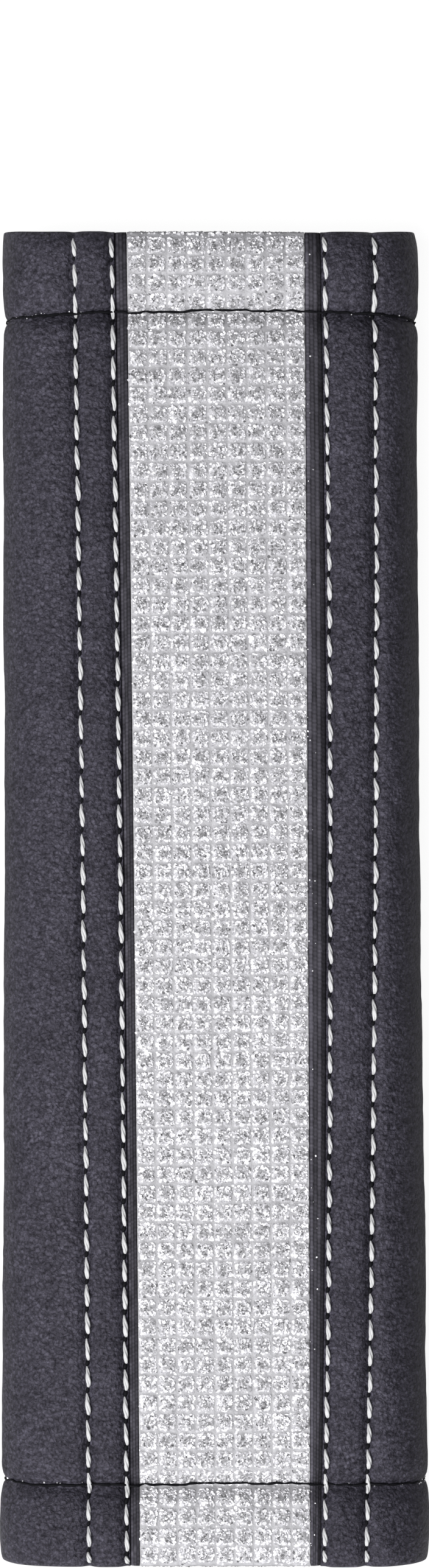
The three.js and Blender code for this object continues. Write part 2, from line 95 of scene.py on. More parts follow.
# Where the skin's form differs from the CAD's: heights with their reach from a seam, and the ends
SKIN_RISES = ((0.5, 8.0), (0.55, 3.2))
SKIN_SINK = 0.3
TOP_DROP_LENGTH = 9.0
TOP_CORNER_OUT = 0.7
TOP_CORNER_LENGTH = 12
END_ROUND_AT_FOLD = (0.1, 0.3)

# Where the meshes of the two flaps begin
LEFT_FLAP_START = RAMP_FOOT + 4
RIGHT_FLAP_START = RAMP_FOOT + 2

# The white stitches, with the needle holes that each row has past its cross seams
HOLES_PAST_SEAMS = (3, 5)
STITCH_STEPS = 15
SHORTEST_STITCH = 1.5
STITCH_SINK = 0.32
STITCH_RISE = 0.92
PLIES = 3
PLY_RADIUS = 0.235
PLY_SPREAD = 0.2
PLY_TWIST = 2.1
NEEDLE_HOLE_HALF = 0.6
NEEDLE_HOLE_RADIUS = 0.42

# The black stitches of the cross seams and of the closure tapes
SEAM_STITCH_PITCH = 2.9
SEAM_STITCH_LENGTH = 3.0
CLOSURE_STITCH_PITCH = 3.0
CLOSURE_STITCH_HALF = 1.3
HOOK_THREAD_LIFT = 0.05
LOOP_THREAD_LIFT = 0.2

# The net's cells, with 62 rows of them between the cross seams
NET_COLUMNS = 9
NET_ROW = 2 * SEAM_Y / 62

# Heights and depths of the skin's relief
RIDGE_SWELL = 0.3
OUTER_SWELL = 0.18
DIMPLE_DEPTH = 0.32
OUTER_PULL = 0.09
INNER_PULL = 0.06
SEAM_GROOVE = 0.4
SEAM_GATHER = 0.14
HEM_SWELL = 0.25
EDGE_ROUND_WIDTH = 0.5
EDGE_ROUND_DEPTH = 0.75

# Distances between the sections of a mesh along the pad, and the points of each
COVER_STEP = 0.6
TAPE_STEP = 0.3
GLITTER_STEP = 0.36
END_STEPS = 14
TUBE_SIDES = 8
COVER_COLUMNS = [5, 20, 38, 22]
TAPE_RIB_COLUMNS = 8
TAPE_TUCK_COLUMNS = 4
NET_CELL_COLUMNS = 9
LINING_ROWS = 91
LINING_FOLD_COLUMNS = 13

# The woven tapes
TAPE_WEAVE_PITCH = 0.74
TAPE_RIB_HEIGHT = 0.2
TAPE_BEAT_HEIGHT = 0.14

# The glitter: its flakes' numbers, form and tones, and the net's cells
FLAKE_TRIES = 74000
END_FLAKES = 2600
STRAY_FLAKES_ON_TAPE = 46
STRAY_FLAKES_IN_SEAM = 14
FLAKE_CORNERS = 5
FLAKE_TILT = 0.34
DARK_TONES = (0.16, 0.42)
PALE_TONES = (0.52, 0.92)
CELL_TONE = 0.45
LEVEL_LINE_TONE = 0.48
UPRIGHT_LINE_TONE = 0.42
CUSHION_HEIGHT = 0.24
NET_LINE_HALF = 0.24

# The cross seams bow towards the top end at their middle: their y there, and the bow
TOP_SEAM = (99.2, -1.2)
BOTTOM_SEAM = (-98.6, -0.25)
BOW_HALF = 38


class Side:
    """One half of the pad: its lines, as distances from the centre line at (top, middle, bottom).

    top_drop is how much further its top end turns down, and seed starts its noise.
    """

    def __init__(self, sign, reach, strip, tape_show, ridge, top_drop, seed):
        self.sign = sign
        self.reach = reach
        self.strip = strip
        self.tape_show = tape_show
        self.ridge = ridge
        self.top_drop = top_drop
        self.seed = seed


LEFT = Side(-1, (35.9, 35.9, 36.2), (14.8, 13.5, 12.5), (2.6, 2.3, 2.2), (6.3, 6.3, 6.4), 0.15, 11)
RIGHT = Side(1, (34.6, 35.2, 36.4), (15.1, 15.7, 16.1), (3.3, 3.7, 2.3), (8.3, 7.4, 7.0), 0.5, 23)


def along(line, y):
    """A lengthwise line's distance from the centre line."""
    top, middle, bottom = line
    t = y / HALF_LENGTH
    return middle + (top - bottom) / 2 * t + ((top + bottom) / 2 - middle) * t * t


def inner_row(side, y):
    return along(side.strip, y) + along(side.tape_show, y)


def outer_row(side, y):
    return inner_row(side, y) + along(side.ridge, y)


def flat_half(side, y):
    return along(side.reach, y) - FOLD_RADIUS


def fold_girth(side, y, turn):
    return flat_half(side, y) + FOLD_RADIUS * turn


def back_girth(side, y, x):
    return fold_girth(side, y, math.pi) + flat_half(side, y) - x


def front_girth(side, y, x):
    past = np.clip((x - flat_half(side, y)) / FOLD_RADIUS, 0, 1)
    return np.where(past <= 0, x, fold_girth(side, y, np.arcsin(past)))


def section(side, y, girth, depth):
    """Points of a section at a girth and a depth below the folds' height."""
    flat = flat_half(side, y)
    turn = np.clip((girth - flat) / FOLD_RADIUS, 0, math.pi)
    radius = FOLD_RADIUS - depth
    past = np.maximum(girth - fold_girth(side, y, math.pi), 0)
    before = np.minimum(girth, flat)
    x = before + radius * np.sin(turn) - past
    z = FOLD_RADIUS + radius * np.cos(turn)
    y = np.broadcast_to(y, np.shape(x))
    return np.stack([side.sign * x, y, z], axis=-1)


def bell(distance, reach):
    return np.exp(-((distance / reach) ** 2))


def smoothstep(value, start, end):
    t = np.clip((value - start) / (end - start), 0, 1)
    return t * t * (3 - 2 * t)


NOISE_CELLS = 128


def lattice(seed):
    return np.random.default_rng(seed).uniform(-1, 1, (NOISE_CELLS, NOISE_CELLS))


def noise(u, v, seed):
    """Smooth noise between -1 and 1, with cells one unit wide."""
    grid = lattice(seed)
    iu, iv = np.floor(u).astype(int), np.floor(v).astype(int)
    fu, fv = u - iu, v - iv
    fu, fv = fu * fu * (3 - 2 * fu), fv * fv * (3 - 2 * fv)

    def pick(a, b):
        return grid[a % NOISE_CELLS, b % NOISE_CELLS]

    low = pick(iu, iv) * (1 - fu) + pick(iu + 1, iv) * fu
    high = pick(iu, iv + 1) * (1 - fu) + pick(iu + 1, iv + 1) * fu
    return low * (1 - fv) + high * fv


def seam_line(end, girth):
    """Y of a cross seam's path at a girth: end is 1 at the top and -1 at the bottom."""
    middle, bow = TOP_SEAM if end > 0 else BOTTOM_SEAM
    return middle + bow * np.clip(girth / BOW_HALF, 0, 1) ** 2


def seam_distance(y, girth):
    top = np.abs(y - seam_line(1, girth))
    bottom = np.abs(y - seam_line(-1, girth))
    return np.minimum(top, bottom)


def foam_fade(side, y, girth):
    start = fold_girth(side, y, math.pi / 2)
    return 1 - smoothstep(girth, start, back_girth(side, y, RAMP_FOOT))


def crown_rise(side, y, girth):
    start = inner_row(side, y)
    share = (girth - start) / (fold_girth(side, y, math.pi / 2) - start)
    return CROWN * np.cos(math.pi / 2 * np.clip(share, 0, 1)) ** 2


def row_dent(side, y, girth):
    inner = bell(girth - inner_row(side, y), ROW_DENT_REACH)
    outer = bell(girth - front_girth(side, y, outer_row(side, y)), ROW_DENT_REACH)
    return ROW_DENT * (inner + outer)


def hold_towards_fold(side, y, girth, at_fold):
    """1 on the flat front, changing to the share kept at the fold."""
    turn = np.clip((girth - flat_half(side, y)) / FOLD_RADIUS, 0, math.pi / 2)
    return 1 - (1 - at_fold) * np.sin(turn) ** 2


def seam_dent(side, y, girth, distance):
    depth = SEAM_DENT * hold_towards_fold(side, y, girth, SEAM_DENT_AT_FOLD)
    return depth * bell(distance, SEAM_DENT_REACH) * foam_fade(side, y, girth)


def end_round(side, y, girth):
    past = np.abs(y) - (HALF_LENGTH - END_ROUND_LENGTH)
    share = np.clip(past / END_ROUND_LENGTH, 0, 1)
    top, bottom = END_ROUND_AT_FOLD
    depth = END_ROUND_DEPTH * hold_towards_fold(side, y, girth, np.where(y > 0, top, bottom))
    return depth * (1 - np.sqrt(1 - share * share)) * foam_fade(side, y, girth)


def inner_press(side, y, girth):
    """How far the layers under the skin are pressed in."""
    seam = seam_dent(side, y, girth, np.abs(np.abs(y) - SEAM_Y))
    return row_dent(side, y, girth) + seam + end_round(side, y, girth) - crown_rise(side, y, girth)


def skin_rise(side, y, girth):
    """How far the skin stands off the foam away from the cross seams."""
    distance = seam_distance(y, girth)
    rise = -SKIN_SINK
    for height, reach in SKIN_RISES:
        rise = rise + height * (1 - bell(distance, reach))
    return rise * hold_towards_fold(side, y, girth, 0) * foam_fade(side, y, girth)


def top_drop(side, y, girth):
    """How much further the skin turns down at the top end."""
    share = np.clip((y - HALF_LENGTH + TOP_DROP_LENGTH) / TOP_DROP_LENGTH, 0, 1)
    return side.top_drop * share * share * smoothstep(girth, 0, 20) * foam_fade(side, y, girth)


def skin_press(side, y, girth):
    """How far the outer skin is pressed in. Its cross seams are bowed, and it rises between them."""
    seam = seam_dent(side, y, girth, seam_distance(y, girth))
    pressed = row_dent(side, y, girth) + seam + end_round(side, y, girth) + top_drop(side, y, girth)
    return pressed - crown_rise(side, y, girth) - skin_rise(side, y, girth)


class Row:
    """A row of white stitches: its line, and its needle holes from the top end down."""

    def __init__(self, side, inner, first, pitch, shrink, count, slant, bulge):
        self.side = side
        self.inner = inner
        before, after = HOLES_PAST_SEAMS
        k = np.arange(-before, count + after)
        holes = first - pitch * k + shrink * k * k
        self.holes = np.clip(holes, ROW_END - HALF_LENGTH, HALF_LENGTH - ROW_END)
        self.slant = slant
        self.bulge = bulge

    def girth(self, y):
        line = inner_row if self.inner else outer_row
        return front_girth(self.side, y, line(self.side, y))


ROWS = {
    "left_outer_stitching": Row(LEFT, False, 97.4, 5.189, 0.00878, 40, 0.12, 0.06),
    "left_inner_stitching": Row(LEFT, True, 97.2, 5.178, 0.00822, 40, 0.12, 0.05),
    "right_inner_stitching": Row(RIGHT, True, 98.74, 4.963, 0.00759, 42, 0.12, 0.1),
    "right_outer_stitching": Row(RIGHT, False, 98.22, 4.952, 0.00758, 42, 0.04, 0.2),
}


def side_rows(side):
    return [row for row in ROWS.values() if row.side is side]


def hole_distance(row, y):
    """How far each y is from the row's nearest needle hole."""
    holes = np.sort(row.holes)
    spot = np.clip(np.searchsorted(holes, y), 1, len(holes) - 1)
    return np.minimum(np.abs(y - holes[spot - 1]), np.abs(y - holes[spot]))


def pillow(side, y, girth):
    """The padding's swell between the two rows and just past the outer one."""
    inner = inner_row(side, y)
    outer = front_girth(side, y, outer_row(side, y))
    share = np.clip((girth - inner) / (outer - inner), 0, 1)
    past = girth - outer
    between = RIDGE_SWELL * np.sin(math.pi * share) ** 0.8
    return between + OUTER_SWELL * bell(past - 3.2, 2.2) * (past > 0)


def unevenness(side, y, girth):
    """Slight waves of the padding, from long ones to slanted creases and short bumps."""
    long_waves = 0.2 * noise(y / 27, girth / 13, side.seed) + 0.12 * noise(y / 11, girth / 7, side.seed + 1)
    creases = 0.045 * noise((y + girth) / 2.6, (y - girth) / 5.5, side.seed + 2)
    bumps = 0.03 * noise(y / 1.5, girth / 1.9, side.seed + 3)
    return long_waves + creases + bumps


def hole_marks(side, y, girth):
    """How deep the needle holes pull the skin in: a dimple at each, and a softer pull on either side."""
    depth = 0.0
    for row in side_rows(side):
        past = girth - row.girth(y)
        near = hole_distance(row, y)
        depth = depth + DIMPLE_DEPTH * bell(past, 0.55) * bell(near, 0.75)
        depth = depth + OUTER_PULL * bell(past - 2.2, 1.5) * bell(near, 0.8) * (past > 0)
        depth = depth + INNER_PULL * bell(past + 1.9, 1.2) * bell(near, 0.8) * (past < 0)
    return depth


def seam_marks(side, y, girth):
    """The cross seam's groove, the gathers beside it and the fuller hem past it."""
    distance = seam_distance(y, girth)
    gathers = SEAM_GATHER * noise(girth / 2.4, y / 9, side.seed + 4) * bell(distance - 2.2, 1.8)
    past = smoothstep(np.abs(y), SEAM_Y + 1.5, SEAM_Y + 5)
    hem = HEM_SWELL * past * (0.6 + 0.4 * noise(y / 5, girth / 6, side.seed + 5))
    return gathers + hem - SEAM_GROOVE * bell(distance, 0.5)


def leather_relief(side, y, girth):
    """What the leatherette's skin adds to the CAD's smooth shape, outwards."""
    rise = pillow(side, y, girth) + unevenness(side, y, girth)
    rise = rise - hole_marks(side, y, girth) + seam_marks(side, y, girth)
    edge = np.clip(1 - (girth - (inner_row(side, y) - COVER_EDGE)) / EDGE_ROUND_WIDTH, 0, 1)
    rise = rise * (1 - smoothstep(edge, 0, 1)) - EDGE_ROUND_DEPTH * (1 - np.sqrt(1 - edge * edge))
    back = smoothstep(girth, fold_girth(side, y, math.pi * 0.62), fold_girth(side, y, math.pi * 0.95))
    return rise * (1 - back)


def cover_skin(side, y, girth):
    return skin_press(side, y, girth) - leather_relief(side, y, girth)


# Meshes


def mesh_object(name, points, faces, material, smooth=True, sharp=55):
    """A mesh. With smooth, its quads and the eight-sided ends of tubes are smooth and the rest is flat."""
    mesh = bpy.data.meshes.new(name)
    mesh.from_pydata((np.asarray(points).reshape(-1, 3) * MM).tolist(), [], faces)
    mesh.materials.append(material)
    mesh.update()
    if smooth:
        mesh.polygons.foreach_set("use_smooth", [len(face) in (4, TUBE_SIDES) for face in faces])
        mesh.set_sharp_from_angle(angle=math.radians(sharp))
    obj = bpy.data.objects.new(name, mesh)
    bpy.context.collection.objects.link(obj)
    return obj


def paint(obj, name, values):
    """Stores one grey value for each vertex."""
    layer = obj.data.color_attributes.new(name, "FLOAT_COLOR", "POINT")
    values = np.asarray(values, dtype=np.float32).reshape(-1)
    colour = np.stack([values, values, values, np.ones_like(values)], axis=-1)
    layer.data.foreach_set("color", colour.reshape(-1))


def ring_faces(rows, size):
    """Quads between like closed rings of points."""
    r, i = np.meshgrid(np.arange(rows - 1), np.arange(size), indexing="ij")
    a = r * size + i
    b = r * size + (i + 1) % size
    return np.stack([a, b, b + size, a + size], axis=-1).reshape(-1, 4).tolist()


def loft(name, rings, material, sharp=55):
    """A closed solid through like rings (rows, points, 3), with its ends capped."""
    rows, size = rings.shape[:2]
    faces = ring_faces(rows, size)
    faces.append(list(range(size))[::-1])
    faces.append(list(range((rows - 1) * size, rows * size)))
    obj = mesh_object(name, rings, faces, material, sharp=sharp)
    outward(obj)
    return obj


def outward(obj):
    """Turns the faces out where the solid's volume comes out negative."""
    mesh = obj.data
    mesh.calc_loop_triangles()
    corners = np.empty(len(mesh.loop_triangles) * 3, dtype=np.int32)
    mesh.loop_triangles.foreach_get("vertices", corners)
    points = np.empty(len(mesh.vertices) * 3)
    mesh.vertices.foreach_get("co", points)
    a, b, c = points.reshape(-1, 3)[corners].reshape(-1, 3, 3).transpose(1, 0, 2)
    if (a * np.cross(b, c)).sum() < 0:
        mesh.flip_normals()


def spread(keys, counts):
    """Columns between key lines: keys are arrays like y, counts the columns between each two."""
    parts = [keys[0][:, None]]
    for start, end, count in zip(keys, keys[1:], counts):
        t = np.arange(1, count + 1) / count
        parts.append(start[:, None] + (end - start)[:, None] * t[None, :])
    return np.concatenate(parts, axis=1)


def stations(step):
    """Y stations from the top end down, closer where the ends turn down."""
    flat = HALF_LENGTH - END_ROUND_LENGTH
    body = np.arange(0, flat, step)
    share = np.linspace(0, 1, END_STEPS + 1)[1:]
    turn = flat + END_ROUND_LENGTH * np.sin(share * math.pi / 2)
    half = np.concatenate([body, turn])
    return np.concatenate([half[::-1], -half[1:]])


def on_back(side, y, x, depth):
    x, depth = np.broadcast_arrays(x, depth)
    x = np.broadcast_to(x, (len(y), x.shape[-1]))
    depth = np.broadcast_to(depth, (len(y), depth.shape[-1]))
    return np.stack([side.sign * x, np.broadcast_to(y[:, None], x.shape), depth], axis=-1)


def cover_girths(side, y):
    outer = front_girth(side, y, outer_row(side, y))
    keys = [
        inner_row(side, y) - COVER_EDGE,
        inner_row(side, y),
        outer,
        fold_girth(side, y, math.pi / 2),
        fold_girth(side, y, math.pi),
    ]
    return spread(keys, COVER_COLUMNS)


def cover_inner(side, y, girths):
    """The cover's inner face, which closes the foam's end at the last 0.9 mm."""
    depth = COVER + inner_press(side, y, girths)
    wraps = (np.abs(y) > HALF_LENGTH - COVER) & (girths > inner_row(side, y) + TAPE_TUCK + 1.5 * CLEAR)
    return np.where(wraps, FOAM_INNER, depth)


def corner_out(side, y, girths):
    """How far the top end's corner reaches out along Y at the fold."""
    turn = np.clip((girths - flat_half(side, y)) / FOLD_RADIUS, 0, math.pi)
    near_top = smoothstep(y, HALF_LENGTH - TOP_CORNER_LENGTH, HALF_LENGTH)
    return TOP_CORNER_OUT * near_top * np.sin(turn) ** 2


def cover_panel(name, side, material):
    y = stations(COVER_STEP)
    column = y[:, None]
    girths = cover_girths(side, y)
    outer = section(side, column, girths, cover_skin(side, column, girths))
    coarse = girths[:, np.r_[0 : girths.shape[1] : 4, -1]]
    inner = section(side, column, coarse, cover_inner(side, column, coarse))
    outer[..., 1] += corner_out(side, column, girths)
    inner[..., 1] += corner_out(side, column, coarse)
    end = np.abs(column) > HALF_LENGTH - COVER
    if side is LEFT:
        out_x = np.array([LEFT_FLAP_START, RAMP_FOOT, RAMP_TOP, 0, -FLAP_EDGE])
        out_z = np.array([0, 0, INNER_FLAP_DEPTH, INNER_FLAP_DEPTH, INNER_FLAP_DEPTH])
        in_z = np.where(end, FOAM_INNER, np.array([[COVER, COVER, FOAM_INNER, FOAM_INNER, FOAM_INNER]]))
        in_x = out_x
    else:
        run = RAMP_FOOT - RAMP_TOP
        slope = INNER_FLAP_DEPTH / run
        foam_end = RAMP_TOP + CLEAR * math.hypot(1, 1 / slope)
        before = np.linspace(RIGHT_FLAP_START, 9, 10)
        between = np.linspace(8.4, -8.4, 30)
        after = np.linspace(-8.8, -FLAP_EDGE, 8)
        out_x = np.concatenate([before, between, after])
        out_z = flap_dents(y, out_x)
        in_x = np.array([RIGHT_FLAP_START, foam_end + run, foam_end, 0, -FLAP_EDGE + 0.3, -FLAP_EDGE])
        in_z = np.where(end & (in_x > foam_end + 0.1), FOAM_INNER, COVER) + 0 * column
    flap_outer = on_back(side, y, out_x[None, :], out_z)
    flap_inner = on_back(side, y, in_x[None, :], in_z)[:, ::-1]
    rings = np.concatenate([outer, flap_outer, flap_inner, inner[:, ::-1]], axis=1)
    return loft(name, rings, material)


def flap_dents(y, x):
    """The outer flap's skin on the back: a groove along each closure thread and slight waves between."""
    x = x[None, :]
    column = y[:, None]
    grooves = bell(np.abs(x) - CLOSURE_THREAD_X, 0.5)
    covered = smoothstep(CLOSURE_LENGTH / 2 + 1 - np.abs(column), 0, 1)
    waves = 0.1 * (1 + noise(column / 17, x / 9, 41)) * smoothstep(np.abs(np.abs(column) - HALF_LENGTH), 0, 8)
    edge = np.clip((-x - (FLAP_EDGE - 0.5)) / 0.5, 0, 1)
    rounding = 0.4 * (1 - np.sqrt(1 - edge * edge))
    return 0.42 * grooves * covered + waves * smoothstep(12 - x, 0, 6) + rounding


def tape_piece(name, side, tones, material):
    """A ribbed woven tape between the glitter strip and the cover's edge, with a tone for each rib and
    painted shade between its ribs.
    """
    ribs = len(tones)
    y = stations(TAPE_STEP)
    column = y[:, None]
    start = along(side.strip, y) + 0.08
    shown = inner_row(side, y) - COVER_EDGE
    keys = [start, shown, inner_row(side, y) + TAPE_TUCK]
    shown_columns = TAPE_RIB_COLUMNS * ribs
    girths = spread(keys, [shown_columns, TAPE_TUCK_COLUMNS])
    share = (girths - start[:, None]) / (shown - start)[:, None]
    across = np.clip(share, 0, 1) * ribs
    number = np.minimum(np.floor(across), ribs - 1)
    rib = np.abs(np.sin(math.pi * across))
    beat = np.cos(2 * math.pi * (column / TAPE_WEAVE_PITCH + 0.37 * number)) * 0.5 + 0.5
    rise = TAPE_RIB_HEIGHT * rib + TAPE_BEAT_HEIGHT * rib * beat + 0.05 * noise(column / 3, number * 3.3, 61)
    seen = share < 1
    top = TAPE_DEPTH - 0.25 + skin_press(side, column, girths) - rise * seen
    top = np.maximum(top, TAPE_DEPTH + skin_press(side, column, girths) - 0.3)
    tucked = TAPE_DEPTH + 0.1 + skin_press(side, column, girths)
    outer = section(side, column, girths, np.where(seen, top, tucked))
    base = girths[:, [0, shown_columns, -1]]
    end = np.abs(column) > HALF_LENGTH - COVER
    depth = np.where(end, FOAM_INNER, TAPE_DEPTH + TAPE + inner_press(side, column, base))
    inner = section(side, column, base, depth)
    obj = loft(name, np.concatenate([outer, inner[:, ::-1]], axis=1), material, sharp=80)
    # Painted shade: each rib's crest lighter, the grooves between ribs and the weave's low points darker,
    # with random tone and each rib's tone on top
    lit = 0.4 + 0.6 * rib + 0.2 * noise(column / 0.8, number * 7.7, 62)
    lit = lit + 0.25 * noise(column / 5, number * 5.1, 63)
    lit = lit * (0.55 + 0.45 * beat) * np.array(tones)[number.astype(int)]
    shade = np.concatenate([lit, np.full((len(y), base.shape[1]), 0.4)], axis=1)
    paint(obj, "shade", np.clip(shade, 0.1, 1.4))
    return obj


def strip_x(y, share):
    left, right = -along(LEFT.strip, y), along(RIGHT.strip, y)
    return left + (right - left) * share


def front_point(x, y, depth, press):
    """A point of the front between the tapes, at a depth below the skin."""
    side_press = np.where(x < 0, press(LEFT, y, np.abs(x)), press(RIGHT, y, np.abs(x)))
    return np.stack([x, np.broadcast_to(y, x.shape), PAD_HEIGHT - depth - side_press], axis=-1)


def net_place(x, y):
    """Where a point lies in its net cell: distances in mm to the nearest upright and level net line."""
    left, right = -along(LEFT.strip, y), along(RIGHT.strip, y)
    u = (x - left) / (right - left) * NET_COLUMNS
    v = (SEAM_Y - y) / NET_ROW + 0.12 * noise(y / 40, x / 14, 71)
    wide = (right - left) / NET_COLUMNS
    upright = np.abs(u - np.round(u)) * wide
    level = np.abs(v - np.round(v)) * NET_ROW
    return upright, level


def glitter_depth(x, y):
    """Depth of the glitter's surface: cells like low cushions between the net's lines."""
    upright, level = net_place(x, y)
    cushion = smoothstep(upright, 0.1, 0.9) * smoothstep(level, 0.1, 0.9)
    lumps = 0.13 * noise(x / 0.8, y / 0.8, 73) + 0.09 * noise(x / 0.37, y / 0.37, 74)
    seam = 0.2 * bell(seam_distance(y, np.abs(x)), 0.5)
    return STRIP_DEPTH - 0.1 - CUSHION_HEIGHT * cushion - lumps * (0.4 + 0.6 * cushion) + seam


def glitter_base(material):
    y = stations(GLITTER_STEP)
    column = y[:, None]
    share = np.linspace(0, 1, NET_COLUMNS * NET_CELL_COLUMNS + 1)[None, :]
    x = strip_x(column, share)
    top = front_point(x, column, glitter_depth(x, column), skin_press)
    ends = strip_x(column, np.array([[0.0, 0.5, 1.0]]))
    back = front_point(ends, column, STRIP_DEPTH + STRIP, inner_press)
    end = np.abs(column) > HALF_LENGTH - COVER
    back[..., 2] = np.where(end, PAD_HEIGHT - FOAM_INNER, back[..., 2])
    obj = loft("glitter_cloth", np.concatenate([top, back[:, ::-1]], axis=1), material, sharp=80)
    upright, level = net_place(x, column)
    tone = CELL_TONE + 0.2 * noise(x / 0.45, column / 0.45, 75)
    line = LEVEL_LINE_TONE + 0.12 * noise(x / 0.7, column / 0.35, 77)
    tone = tone + (line - tone) * smoothstep(0.4 - level, 0, 0.16)
    tone = tone + (UPRIGHT_LINE_TONE - tone) * smoothstep(0.3 - upright, 0, 0.12)
    paint(obj, "shade", np.concatenate([tone, np.full((len(y), 3), 0.2)], axis=1))
    return obj


def glitter_flakes(name, material, count, seed):
    """Loose tilted flakes: pale at the rim of each cell and mixed with grey ones in its middle."""
    rng = np.random.default_rng(seed)
    y = rng.uniform(-HALF_LENGTH + 0.3, HALF_LENGTH - 0.3, count)
    share = rng.uniform(0.003, 0.997, count)
    x = strip_x(y, share)
    upright, level = net_place(x, y)
    clear = smoothstep(upright, NET_LINE_HALF, 0.38) * smoothstep(level, NET_LINE_HALF, 0.42)
    chance = 0.03 + 0.97 * clear
    kept = rng.random(count) < chance
    x, y, upright, level = (a[kept] for a in (x, y, upright, level))
    count = len(x)
    inside = smoothstep(np.minimum(upright - 0.25, level - 0.25), 0.3, 0.85)
    patch = noise(x / 0.6, y / 0.6, 76)
    dark = rng.random(count) < 0.05 + 0.6 * inside + 0.3 * patch
    size = rng.uniform(0.12, 0.22, count) + 0.14 * (rng.random(count) < 0.35 * (1 - inside))
    tone = np.where(dark, rng.uniform(*DARK_TONES, count), rng.uniform(*PALE_TONES, count))
    centre = front_point(x, y, glitter_depth(x, y) - 0.05, skin_press)
    return flake_mesh(name, centre, size, tone, material, rng)


def stray_flakes(name, material, seed):
    """A few flakes that have come off the strip, on the right tape and in the cross seams."""
    rng = np.random.default_rng(seed)
    y = rng.uniform(-HALF_LENGTH + 3, HALF_LENGTH - 3, STRAY_FLAKES_ON_TAPE)
    x = along(RIGHT.strip, y) + rng.uniform(0.1, 1.3, len(y)) ** 1.5
    on_tape = front_point(x, y, TAPE_DEPTH - 0.4, skin_press)
    parts = [on_tape]
    for side in (LEFT, RIGHT):
        for end in (1, -1):
            girth = rng.uniform(22, 42, STRAY_FLAKES_IN_SEAM)
            y = seam_line(end, girth) + rng.uniform(-0.4, 0.4, len(girth))
            parts.append(section(side, y, girth, cover_skin(side, y, girth) - 0.12))
    centre = np.concatenate(parts)
    count = len(centre)
    size = rng.uniform(0.07, 0.17, count)
    return flake_mesh(name, centre, size, rng.uniform(0.5, 0.9, count), material, rng)


def end_flakes(name, end, material, seed):
    """Flakes on the strip's face at one end, where it closes the foam."""
    rng = np.random.default_rng(seed)
    count = END_FLAKES
    y = np.full(count, end * HALF_LENGTH)
    x = strip_x(y, rng.uniform(0.004, 0.996, count))
    top = front_point(x, y, glitter_depth(x, y), skin_press)[:, 2]
    low = PAD_HEIGHT - FOAM_INNER
    centre = np.stack([x, y + end * 0.04, low + 0.1 + rng.random(count) * (top - low - 0.1)], axis=-1)
    dark = rng.random(count) < 0.35
    tone = np.where(dark, rng.uniform(*DARK_TONES, count), rng.uniform(*PALE_TONES, count))
    return flake_mesh(name, centre, rng.uniform(0.12, 0.26, count), tone, material, rng, end)


def flake_mesh(name, centre, size, tone, material, rng, end=0):
    """Small tilted plates with five uneven corners, facing up or out of one end."""
    count = len(centre)
    tilt = np.abs(rng.normal(0, FLAKE_TILT, count))
    way = rng.uniform(0, 2 * math.pi, count)
    normal = np.stack([np.sin(tilt) * np.cos(way), np.sin(tilt) * np.sin(way), np.cos(tilt)], axis=-1)
    side = np.cross(normal, np.array([0.0, 1.0, 0.0]))
    side /= np.linalg.norm(side, axis=-1, keepdims=True)
    other = np.cross(normal, side)
    corners = FLAKE_CORNERS
    turn = rng.uniform(0, 2 * math.pi, (count, 1)) + np.arange(corners)[None, :] * (2 * math.pi / corners)
    reach = size[:, None] * rng.uniform(0.7, 1.15, (count, corners))
    across = side[:, None, :] * (reach * np.cos(turn))[..., None]
    offset = across + other[:, None, :] * (reach * np.sin(turn))[..., None]
    if end:
        offset = offset[..., [0, 2, 1]] * np.array([1, end, 1])
    points = centre[:, None, :] + offset
    if not end:
        points[..., 1] = np.clip(points[..., 1], -HALF_LENGTH, HALF_LENGTH)
    start = np.arange(count)[:, None] * corners
    order = np.arange(corners) if end > 0 else np.arange(corners)[::-1]
    faces = (start + order[None, :]).tolist()
    obj = mesh_object(name, points, faces, material, smooth=False)
    paint(obj, "shade", np.repeat(tone, corners))
    return obj


def tube(points, radii, sides=TUBE_SIDES):
    """Rings round a path (n, 3), with a radius at each of its points."""
    ahead = np.gradient(points, axis=0)
    ahead /= np.linalg.norm(ahead, axis=-1, keepdims=True)
    across = np.cross(ahead, np.array([0.0, 0.0, 1.0]))
    across /= np.maximum(np.linalg.norm(across, axis=-1, keepdims=True), 1e-9)
    up = np.cross(across, ahead)
    turn = (np.arange(sides) * (2 * math.pi / sides))[None, :, None]
    ring = across[:, None, :] * np.cos(turn) + up[:, None, :] * np.sin(turn)
    return points[:, None, :] + ring * np.asarray(radii)[:, None, None]


def join_tubes(name, tubes, material):
    """One mesh of many closed tubes."""
    points, faces, start = [], [], 0
    for rings in tubes:
        rows, size = rings.shape[:2]
        quads = np.array(ring_faces(rows, size)) + start
        faces.extend(quads.tolist())
        faces.append([start + i for i in range(size)][::-1])
        faces.append([start + (rows - 1) * size + i for i in range(size)])
        points.append(rings.reshape(-1, 3))
        start += rows * size
    obj = mesh_object(name, np.concatenate(points), faces, material, sharp=70)
    outward(obj)
    return obj


def skin_point(side, y, girth, lift):
    """A point above the stitched skin."""
    return section(side, y, girth, skin_press(side, y, girth) - lift)


